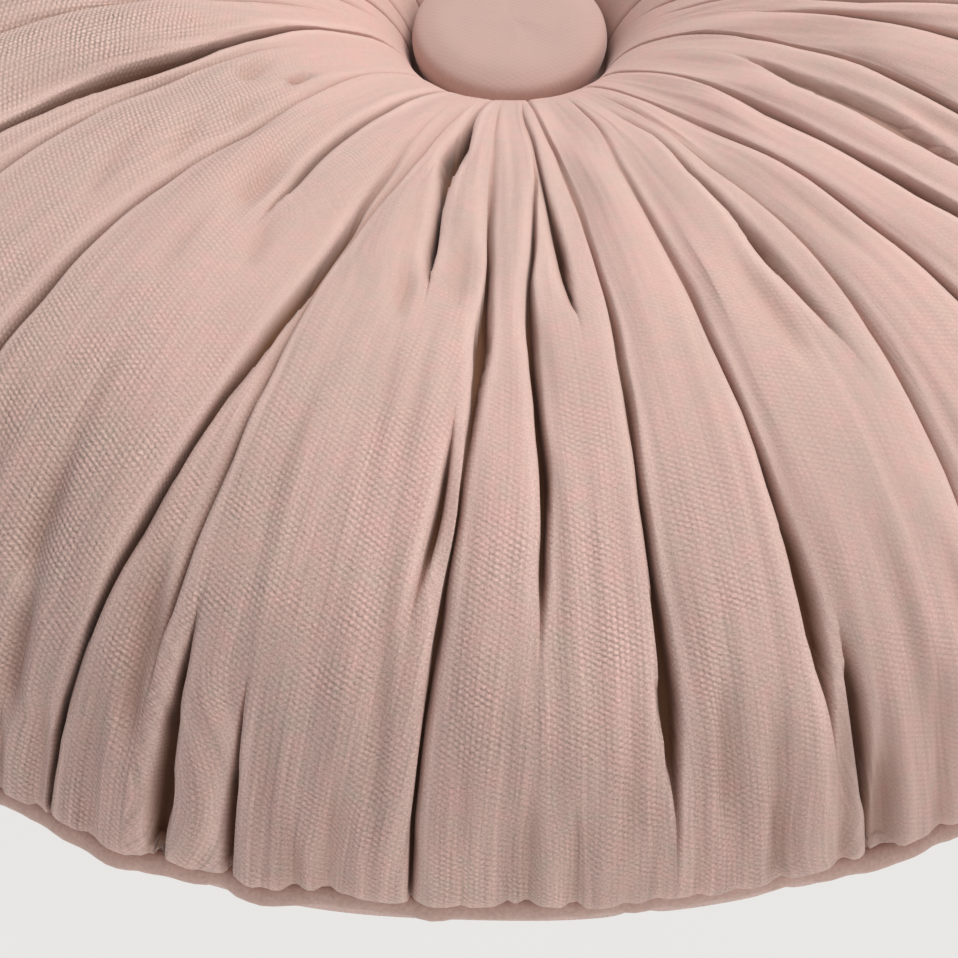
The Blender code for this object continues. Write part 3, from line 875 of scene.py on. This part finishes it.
def weave_of(tree, varies):
    """Three waves: the weave's slanting rows, its columns, and the fainter rows across those."""
    parts = node(tree, "ShaderNodeSeparateXYZ", node(tree, "ShaderNodeUVMap", uv_map="cloth"))
    u = node(tree, MATHS, parts.outputs[0], 2.0 / MM * math.pi * WARP_PER_MM, **TIMES)
    v = node(tree, MATHS, parts.outputs[1], 2.0 / MM * math.pi * DOTS_PER_MM, **TIMES)
    u = node(tree, MATHS, varies["warp sway"], 7.0, u, **TIMES_PLUS)
    v = node(tree, MATHS, varies["weft sway"], 6.0, v, **TIMES_PLUS)
    u = node(tree, MATHS, varies["warp jitter"], 2.2, u, **TIMES_PLUS)
    v = node(tree, MATHS, varies["weft jitter"], 3.0, v, **TIMES_PLUS)
    weave = 0.0
    # Which wave, how it goes with u and v, how high it is, and how much that varies.
    for name, across, down, strength, strays in (
        ("rows", -0.5, v, 0.62, 0.9),
        ("cross rows", 0.5, v, 0.30, 0.9),
        ("columns", 1.0, 0.0, 0.34, 1.0),
    ):
        phase = node(tree, MATHS, u, across, down, **TIMES_PLUS)
        wave = node(tree, MATHS, phase, operation="COSINE")
        height = node(tree, MATHS, varies[name], strays, strength, **TIMES_PLUS)
        weave = node(tree, MATHS, wave, height, weave, **TIMES_PLUS)
    uneven = node(tree, MATHS, varies["dots"], 2.4, 1.0, **TIMES_PLUS)
    weave = node(tree, MATHS, weave, uneven, **TIMES)
    # The pits between the threads are deeper than the threads are high.
    pits = node(tree, MATHS, weave, 0.0, operation="MINIMUM")
    pits = node(tree, MATHS, pits, 0.5, 0.1, **TIMES_PLUS)
    return node(tree, MATHS, weave, 0.95, pits, **TIMES_PLUS)


def woven_cotton(name):
    material, tree, shader = matt_cotton(name, 0.92, 0.18, 0.2, 0.55)
    varies = cloth_variation(tree)
    weave = weave_of(tree, varies)
    marks = ("sunk", "fold_edge", "bare_weave", "bare_and_shaded", "near_seam")
    told = [node(tree, "ShaderNodeAttribute", attribute_name=mark).outputs["Fac"] for mark in marks]
    sunk, edge, bare, bare_and_shaded, near_seam = told

    # How plainly the weave shows: less at fold edges, near the seam and in patches of thicker nap.
    flat = node(tree, MATHS, edge, -0.75, 1.0, **UP_TO_ONE)
    patch = node(tree, MATHS, varies["thin nap"], 2.0, 0.72, **UP_TO_ONE)
    shows = node(tree, MATHS, flat, patch, **TIMES)
    shows = node(tree, MATHS, shows, bare, **TIMES)
    dotted = node(tree, MATHS, shows, node(tree, MATHS, near_seam, -0.30, 1.0, **TIMES_PLUS), **TIMES)
    dotted = node(tree, MATHS, dotted, node(tree, MATHS, bare_and_shaded, 0.9, 1.0, **TIMES_PLUS), **TIMES)

    # The dye and the nap, from the widest patches to the edges of the folds, with painted shade in the
    # patches on the left and a highlight partly painted along the fold edges.
    base = linear(CLOTH_GREIGE)
    for colour, told_by, strength, least in (
        (CLOTH_ROSE, varies["mottle"], 1.6, 0.5),
        (CLOTH_PINK, varies["pink patches"], 1.3, 0.2),
        (CLOTH_SAGE, varies["sage tinge"], 1.7, 0.22),
        (CLOTH_PINK, varies["pink blush"], 2.0, 0.10),
        # painted shade: greyer in the patches on the left of the front
        (CLOTH_SAGE, bare_and_shaded, 0.5, 0.0),
        # partly flattened nap, partly a painted highlight along the rolled fold edges
        (CLOTH_EDGE_HIGHLIGHT, edge, 0.65, 0.0),
    ):
        amount = node(tree, MATHS, told_by, strength, least, **UP_TO_ONE)
        base = node(tree, MIX, amount, base, linear(colour), **COLOURS)

    # Its lights and darks: painted shade in the patches on the left, slubs and streaks, loose fibres, and
    # the dots of the weave.
    streaky = node(tree, MATHS, bare, 0.30, 0.08, **TIMES_PLUS)
    streaky = node(tree, MATHS, near_seam, 0.30, streaky, **TIMES_PLUS)
    # Painted shade: darker in the same patches.
    lights = node(tree, MATHS, bare_and_shaded, -0.14, 1.0, **TIMES_PLUS)
    for pattern, strength in (
        (varies["slub"], streaky),
        (varies["streak"], node(tree, MATHS, streaky, 0.6, **TIMES)),
        (varies["grain"], node(tree, MATHS, bare, 0.80, 0.08, **TIMES_PLUS)),
        (varies["fuzz"], 0.14),
        (weave, node(tree, MATHS, dotted, 0.25, **TIMES)),
    ):
        lights = node(tree, MATHS, pattern, strength, lights, **TIMES_PLUS)
    tone = node(tree, "ShaderNodeCombineXYZ", lights, lights, lights)
    base = node(tree, MIX, 1.0, base, tone, blend_type="MULTIPLY", **COLOURS)
    # Painted shade: the deeper the cloth lies in a fold or dip, the nearer its colour goes to a dark warm
    # brown.
    fold_shade = node(tree, MATHS, sunk, 1.3, 0.0, **UP_TO_ONE)
    base = node(tree, MIX, fold_shade, base, linear(CLOTH_FOLD_SHADE), **COLOURS)
    tree.links.new(base.outputs[2], shader.inputs["Base Color"])

    height = node(tree, MATHS, weave, node(tree, MATHS, dotted, 0.35, **TIMES), **TIMES)
    for pattern, strength in (("slub", 0.7), ("grain", 0.5), ("fuzz", 0.5)):
        height = node(tree, MATHS, varies[pattern], strength, height, **TIMES_PLUS)
    relief = {"Strength": 0.5, "Distance": THREAD_HEIGHT, "Height": height}
    bump = node(tree, "ShaderNodeBump", inputs=relief)
    tree.links.new(bump.outputs[0], shader.inputs["Normal"])
    return material


cover = make_cover()
cover.data.materials.append(woven_cotton("woven rose cotton with a short nap"))
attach(cover, "root")
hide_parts("cushion")


# The piping: a cotton cord in a bias strip of the same cloth, sewn between the two rounds. The
# strip is smooth because it is stretched, and it puckers slightly where the folds pull on it.

PIPING_RADIUS = 0.0022
PIPING_INSET = 0.0003  # of its outer edge inside the cushion's widest circle
PIPING_POINTS = 720
CORD_SIDES = 14
PUCKER = 0.00022  # m, how far the strip's long puckers push the cord about
PUCKER_WAVES = (37, 61, 88, 113, 149)  # round the cushion
LUMP_HEIGHT = 0.0009  # of the strip's own small lumps, if they were at full strength
LUMPS_PER_M = 230.0


def make_piping():
    azimuth = np.arange(PIPING_POINTS) * 2 * math.pi / PIPING_POINTS
    random = np.random.default_rng(SEED + 1)
    puckers = np.zeros(PIPING_POINTS)
    for waves in PUCKER_WAVES:
        puckers += np.sin(waves * azimuth + random.uniform(0, 2 * math.pi)) / 2.2
    sag = bumps_round(azimuth, SEAM_SAGS) * MM
    radius = OUTER_RADIUS - PIPING_RADIUS - PIPING_INSET + 0.75 * sag + PUCKER * puckers
    height = SEAM_HEIGHT + seam_waver(azimuth) - 0.7 * sag + PUCKER * np.roll(puckers, 31)
    curve = bpy.data.curves.new("piping", "CURVE")
    curve.dimensions = "3D"
    spline = curve.splines.new("POLY")
    spline.points.add(PIPING_POINTS - 1)
    spline.use_cyclic_u = True
    x, y = radius * np.sin(azimuth), -radius * np.cos(azimuth)
    points = np.column_stack([x, y, height, np.ones(PIPING_POINTS)])
    spline.points.foreach_set("co", points.ravel())
    path = add_object("piping_path", curve)

    tree = bpy.data.node_groups.new("cord in a bias strip", "GeometryNodeTree")
    sizes = {}
    for name, kind in (
        ("Geometry", "Geometry"),
        ("Cord radius", "Float"),
        ("Lump height", "Float"),
        ("Cloth", "Material"),
    ):
        socket = tree.interface.new_socket(name, in_out="INPUT", socket_type="NodeSocket" + kind)
        sizes[name] = socket.identifier
    tree.interface.new_socket("Geometry", in_out="OUTPUT", socket_type="NodeSocketGeometry")
    given = tree.nodes.new("NodeGroupInput").outputs
    ring = {"Resolution": CORD_SIDES, "Radius": given["Cord radius"]}
    profile = node(tree, "GeometryNodeCurvePrimitiveCircle", inputs=ring)
    tube = node(tree, "GeometryNodeCurveToMesh", given["Geometry"], profile)
    place = node(tree, "GeometryNodeInputPosition")
    lumps = node(tree, "ShaderNodeTexNoise", place, LUMPS_PER_M, 2.0)
    centred = node(tree, MATHS, lumps, 0.5, operation="SUBTRACT")
    rise = node(tree, MATHS, centred, given["Lump height"], **TIMES)
    outwards = node(tree, "GeometryNodeInputNormal")
    push = node(tree, "ShaderNodeVectorMath", outwards, inputs={"Scale": rise}, operation="SCALE")
    moved = node(tree, "GeometryNodeSetPosition", tube, inputs={"Offset": push})
    smooth = node(tree, "GeometryNodeSetShadeSmooth", moved)
    real = node(tree, "GeometryNodeRealizeInstances", smooth)
    finish = node(tree, "GeometryNodeSetMaterial", real, inputs={"Material": given["Cloth"]})
    leave = tree.nodes.new("NodeGroupOutput")
    tree.links.new(finish.outputs[0], leave.inputs[0])

    modifier = path.modifiers.new("cord in a bias strip", "NODES")
    modifier.node_group = tree
    modifier[sizes["Cord radius"]] = PIPING_RADIUS
    modifier[sizes["Lump height"]] = LUMP_HEIGHT
    modifier[sizes["Cloth"]] = bias_strip("bias strip of rose cotton")
    bpy.context.view_layer.update()
    made = path.evaluated_get(bpy.context.evaluated_depsgraph_get())
    mesh = bpy.data.meshes.new_from_object(made)
    bpy.data.objects.remove(path, do_unlink=True)
    mesh.name = "piping"
    return add_object("piping_strip", mesh)


# The same cotton cut on the bias and stretched round the cord: the weave is too tight to show, and
# there is only a fine grain and a faint unevenness of dye.
STRIP_ROSE = "D6B1A4"
STRIP_GREIGE = "C4A598"
STRIP_DYE_PER_M = 70.0
STRIP_GRAIN_PER_M = 1400.0
STRIP_FLECKS = (0.88, 1.08)  # how dark and how light the grain makes it


def bias_strip(name):
    material, tree, shader = matt_cotton(name, 0.9, 0.2, 0.2, 0.5)
    place = node(tree, "ShaderNodeTexCoord").outputs["Object"]
    dye = node(tree, "ShaderNodeTexNoise", place, STRIP_DYE_PER_M, 4.0)
    grain = node(tree, "ShaderNodeTexNoise", place, STRIP_GRAIN_PER_M, 2.0)
    tint = node(tree, MIX, dye, linear(STRIP_GREIGE), linear(STRIP_ROSE), **COLOURS)
    fleck = node(tree, "ShaderNodeMapRange", grain, 0.3, 0.7, *STRIP_FLECKS)
    shade = node(tree, MIX, 1.0, tint, fleck, blend_type="MULTIPLY", **COLOURS)
    tree.links.new(shade.outputs[2], shader.inputs["Base Color"])
    bump = node(tree, "ShaderNodeBump", inputs={"Strength": 0.5, "Distance": 0.0001, "Height": grain})
    tree.links.new(bump.outputs[0], shader.inputs["Normal"])
    return material


piping = make_piping()
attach(piping, "root")
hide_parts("piping")


# The buttons: domed metal shells 41 mm across, each covered with a disc of the same cotton pulled
# tight and tucked under, and tied through the filling to the one on the other face.

BUTTON_SECTION = [
    (0.0, 0.0),
    (13.5, 0.2),
    (18.2, 3.0),
    (20.3, 7.5),
    (20.9, 11.4),
    (20.2, 14.0),
    (17.2, 15.7),
    (9.5, 16.5),
    (0.0, 16.6),
]
BUTTON_HEIGHT = BUTTON_SECTION[-1][1]
BUTTON_ROWS = 56
BUTTON_STEPS = 128
BUTTON_TUCKS = 19
TUCKS_UP_TO = 7.5  # mm above the button's bottom
TUCK_DEPTH = 0.45  # mm
DOME_UNEVEN = (0.10, 0.12)  # mm outwards and upwards


def button_outline(count):
    points = np.array(BUTTON_SECTION)
    step = distance_along(points)
    slope = np.gradient(points, step, axis=0)
    slope[0], slope[-1] = (1.0, 0.0), (-1.0, 0.0)
    return eased(step, points, slope, np.linspace(0.0, step[-1], count))


def make_button(name, base, side, seed):
    random = np.random.default_rng(seed)
    outline = button_outline(BUTTON_ROWS)[1:-1]
    turn = np.arange(BUTTON_STEPS) * 2 * math.pi / BUTTON_STEPS
    radius = np.repeat(outline[:, :1], BUTTON_STEPS, axis=1)
    height = np.repeat(outline[:, 1:], BUTTON_STEPS, axis=1)
    # Below its widest part the cloth is tucked in small pleats; the dome is only faintly uneven.
    tuck = np.clip((TUCKS_UP_TO - height) / 5.0, 0.0, 1.0) * np.clip(radius / 14.0, 0.0, 1.0)
    wave = np.sin(BUTTON_TUCKS * turn + random.uniform(0, 6))
    wave = wave + 0.5 * np.sin(31 * turn + random.uniform(0, 6))
    uneven = np.sin(2 * turn + random.uniform(0, 6))
    uneven = uneven + 0.7 * np.sin(3 * turn + random.uniform(0, 6)) + 0.5 * np.sin(5 * turn + 1)
    radius = radius - TUCK_DEPTH * tuck * np.abs(wave) + DOME_UNEVEN[0] * uneven * radius / 20.0
    height = height + DOME_UNEVEN[1] * uneven * np.sin(radius / 6.0) * (height > 8.0)
    height = np.clip(height, 0.0, BUTTON_HEIGHT)
    ring = round_middle(radius, turn, base + side * height * MM)
    ring[..., :2] += BUTTON_STRAY[side]
    rows = len(outline)
    index = np.arange(rows * BUTTON_STEPS).reshape(rows, BUTTON_STEPS)
    after = np.roll(index, -1, axis=1)
    hub = rows * BUTTON_STEPS
    quads = np.stack([index[:-1], after[:-1], after[1:], index[1:]], axis=-1).reshape(-1, 4)
    bottom = np.column_stack([np.full(BUTTON_STEPS, hub), after[0], index[0]])
    top = np.column_stack([np.full(BUTTON_STEPS, hub + 1), index[-1], after[-1]])
    faces = quads.tolist() + bottom.tolist() + top.tolist()
    if side < 0:
        faces = [face[::-1] for face in faces]
    middle = BUTTON_STRAY[side]
    ends = [(*middle, base), (*middle, base + side * BUTTON_HEIGHT * MM)]
    vertices = np.concatenate([ring.reshape(-1, 3), ends])
    mesh = bpy.data.meshes.new(name)
    mesh.from_pydata(vertices.tolist(), [], faces)
    mesh.shade_smooth()
    return add_object(name, mesh)


# Cotton stretched over a dome: the nap lies flat, so it is smoother and a shade greyer than the
# cover, with a fine weave that barely shows.
BUTTON_ROSE = "CBAAA0"
BUTTON_GREIGE = "BFA398"
BUTTON_DYE_PER_M = 90.0
BUTTON_GRAIN_PER_M = 900.0
BUTTON_THREADS = (0.965, 1.02)  # how dark and how light the weave makes it


def stretched_cotton(name):
    material, tree, shader = matt_cotton(name, 0.88, 0.2, 0.25, 0.5)
    place = node(tree, "ShaderNodeTexCoord").outputs["Object"]
    parts = node(tree, "ShaderNodeSeparateXYZ", place)
    waves = []
    for axis, per_mm in ((0, WARP_PER_MM), (1, 2 * DOTS_PER_MM)):
        scaled = node(tree, MATHS, parts.outputs[axis], math.pi * per_mm / MM, **TIMES)
        waves.append(node(tree, MATHS, scaled, operation="COSINE"))
    weave = node(tree, MATHS, *waves, **TIMES)
    dye = node(tree, "ShaderNodeTexNoise", place, BUTTON_DYE_PER_M, 4.0)
    grain = node(tree, "ShaderNodeTexNoise", place, BUTTON_GRAIN_PER_M, 2.0)
    tint = node(tree, MIX, dye, linear(BUTTON_GREIGE), linear(BUTTON_ROSE), **COLOURS)
    thread = node(tree, "ShaderNodeMapRange", weave, -1.0, 1.0, *BUTTON_THREADS)
    shade = node(tree, MIX, 1.0, tint, thread, blend_type="MULTIPLY", **COLOURS)
    tree.links.new(shade.outputs[2], shader.inputs["Base Color"])
    relief = {"Strength": 0.35, "Distance": 0.0001}
    relief["Height"] = node(tree, MATHS, weave, 0.25, grain, **TIMES_PLUS)
    bump = node(tree, "ShaderNodeBump", inputs=relief)
    tree.links.new(bump.outputs[0], shader.inputs["Normal"])
    return material


button_cotton = stretched_cotton("rose cotton stretched over a button")
for button_node, side in (("button_front", 1), ("button_back", -1)):
    low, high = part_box(button_node)
    button = make_button(button_node + "_cover", low.z if side > 0 else high.z, side, SEED + 5 + side)
    button.data.materials.append(button_cotton)
    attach(button, "root")
    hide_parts(button_node)


# The studio: a pale floor of opal acrylic lit from below, soft light from above and behind, and the
# camera close to the front of the cushion, looking down on it.

FLOOR_PALE = "E6E6E4"
FLOOR_SHADE = (0.12, 0.12, 0.12, 1.0)  # its own colour, which takes the cushion's shadow
FLOOR_GLOW = 0.93
FLOOR_REACH = 6  # m
SKY_COLOUR = (0.93, 0.95, 1.0, 1.0)
SKY_STRENGTH = 0.44

floor_mesh = bpy.data.meshes.new("floor")
floor_corners = [(x * FLOOR_REACH, y * FLOOR_REACH, 0) for x, y in ((-1, -1), (1, -1), (1, 1), (-1, 1))]
floor_mesh.from_pydata(floor_corners, [], [(0, 1, 2, 3)])
floor = add_object("floor", floor_mesh)
opal = bpy.data.materials.new("opal acrylic lit from below")
opal.use_nodes = True
glow = opal.node_tree.nodes["Principled BSDF"]
glow.inputs["Base Color"].default_value = FLOOR_SHADE
glow.inputs["Roughness"].default_value = 0.9
glow.inputs["Emission Color"].default_value = linear(FLOOR_PALE)
glow.inputs["Emission Strength"].default_value = FLOOR_GLOW
floor_mesh.materials.append(opal)

# Columns: where it stands, what it points at, its size and power, and its colour.
LIGHTS = [
    ("overhead", (0.55, 0.62, 1.25), (0.0, -0.02, 0.05), 0.8, 17.0, (1.0, 0.975, 0.96)),
    ("front_fill", (0.7, -1.0, 0.8), (0.0, -0.1, 0.05), 0.9, 3.5, (0.98, 0.98, 1.0)),
]
for name, place, target, size, power, colour in LIGHTS:
    lamp = bpy.data.lights.new(name, "AREA")
    lamp.size, lamp.energy, lamp.color = size, power, colour
    stand = add_object(name, lamp)
    stand.location = place
    stand.rotation_euler = (Vector(place) - Vector(target)).to_track_quat("Z", "Y").to_euler()

world = bpy.data.worlds.new("soft studio")
world.use_nodes = True
sky = next(n for n in world.node_tree.nodes if n.type == "BACKGROUND")
sky.inputs["Color"].default_value = SKY_COLOUR
sky.inputs["Strength"].default_value = SKY_STRENGTH
bpy.context.scene.world = world

CAMERA_LENS = 90.2  # mm
CAMERA_SENSOR = 36.0  # mm
CAMERA_RISE = math.radians(52.23)
CAMERA_ROLL = math.radians(0.98)
CAMERA_DISTANCE = 0.4668  # m
CAMERA_TARGET = Vector((-0.0036, -0.105, SEAM_HEIGHT))

outwards = Vector((0.0, -math.cos(CAMERA_RISE), math.sin(CAMERA_RISE)))
level = Vector((1.0, 0.0, 0.0))
steep = outwards.cross(level)
right = math.cos(CAMERA_ROLL) * level + math.sin(CAMERA_ROLL) * steep
upwards = -math.sin(CAMERA_ROLL) * level + math.cos(CAMERA_ROLL) * steep
stands_at = CAMERA_TARGET + CAMERA_DISTANCE * outwards
turned = [(right[k], upwards[k], outwards[k], stands_at[k]) for k in range(3)]
lens = bpy.data.cameras.new("camera")
lens.lens, lens.sensor_width, lens.clip_start = CAMERA_LENS, CAMERA_SENSOR, 0.01
camera = add_object("camera", lens)
camera.matrix_world = Matrix(turned + [(0, 0, 0, 1)])
bpy.context.scene.camera = camera
bpy.context.scene.view_settings.view_transform = "Standard"
